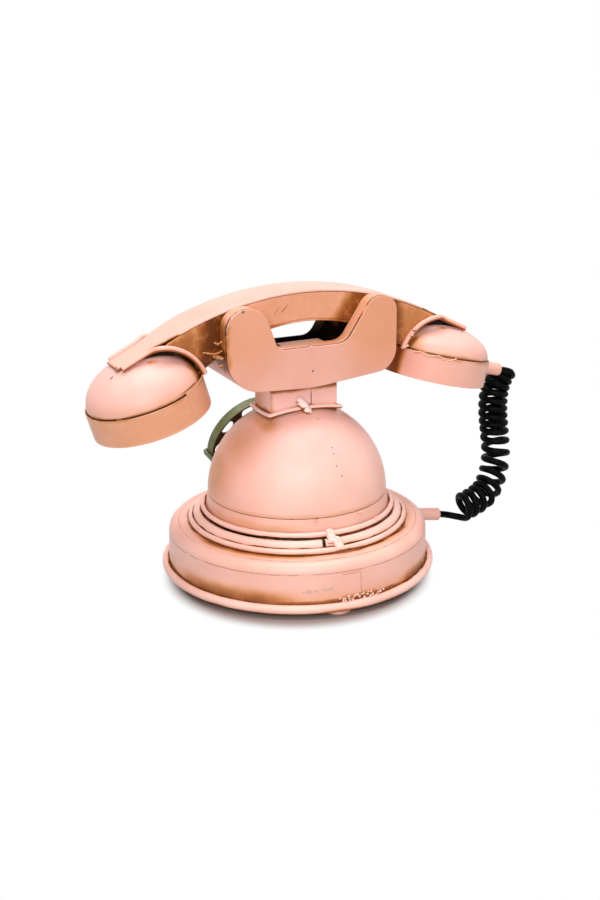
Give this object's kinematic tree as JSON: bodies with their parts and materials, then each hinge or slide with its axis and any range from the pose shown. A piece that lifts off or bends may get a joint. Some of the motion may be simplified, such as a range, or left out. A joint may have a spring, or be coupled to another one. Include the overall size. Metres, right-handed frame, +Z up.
{
  "type": "ornamental cradle telephone",
  "caption": "Sheet-metal ornament shaped like an early cradle telephone: round drum base, half-dome with a turning dial, forked cradle, lift-off arched handset and a black curly cord.",
  "frame": {"origin": "on the table under the middle of the drum base", "axes": "+Z up, +X along the handset toward the earpiece, the dial faces -Y"},
  "size_m": [0.1845, 0.1068, 0.1103],
  "materials": {
    "pink_enamel": "satin enamel with a brown wash",
    "olive_enamel": "aged olive-brown enamel",
    "bare_steel": "dull plated steel",
    "black_cord": "satin black"
  },
  "bodies": {
    "base": {"base_feet": "pink_enamel", "base_plate": "pink_enamel", "base_band": "pink_enamel", "base_rim_wire": "pink_enamel", "base_shoulder": "pink_enamel", "base_deck": "pink_enamel", "outer_wire_ring": "pink_enamel", "hoop_ring": "pink_enamel", "inner_wire_ring": "pink_enamel", "hoop_tabs": "pink_enamel", "dome_collar": "pink_enamel", "dome_shell": "pink_enamel", "neck_tube": "pink_enamel", "neck_wire": "pink_enamel", "neck_tab": "pink_enamel", "cradle_rear_plate": "pink_enamel", "cradle_front_plate": "pink_enamel", "cradle_rear_edge": "pink_enamel", "cradle_front_edge": "pink_enamel", "cradle_bottom_strip": "pink_enamel", "dial_stud": "bare_steel", "dial_washer": "bare_steel", "dial_nut": "bare_steel", "finger_stop": "olive_enamel", "base_cord_ferrule": "pink_enamel", "cord_tail": "black_cord", "cord_curl": "black_cord"},
    "finger_wheel": {"dial_wheel": "olive_enamel"},
    "handset": {"handle_top_strip": "pink_enamel", "handle_rear_side": "pink_enamel", "handle_front_side": "pink_enamel", "handle_bottom_strip": "pink_enamel", "earpiece_dome": "pink_enamel", "earpiece_band": "pink_enamel", "earpiece_face": "pink_enamel", "earpiece_wires": "pink_enamel", "mouthpiece_dome": "pink_enamel", "mouthpiece_band": "pink_enamel", "mouthpiece_face": "pink_enamel", "mouthpiece_wires": "pink_enamel", "handset_cord_ferrule": "pink_enamel"}
  },
  "joints": [
    {"name": "dial_turn", "type": "hinge", "parent": "base", "child": "finger_wheel", "pos_m": [0, 0, 0.03125], "axis": [0.2301, -0.8899, 0.3939], "continuous": true},
    {"name": "handset_lift", "type": "slide", "parent": "base", "child": "handset", "axis": [0, 0, 1], "range_m": [0, 0.06], "deforming": ["cord_curl"]}
  ]
}
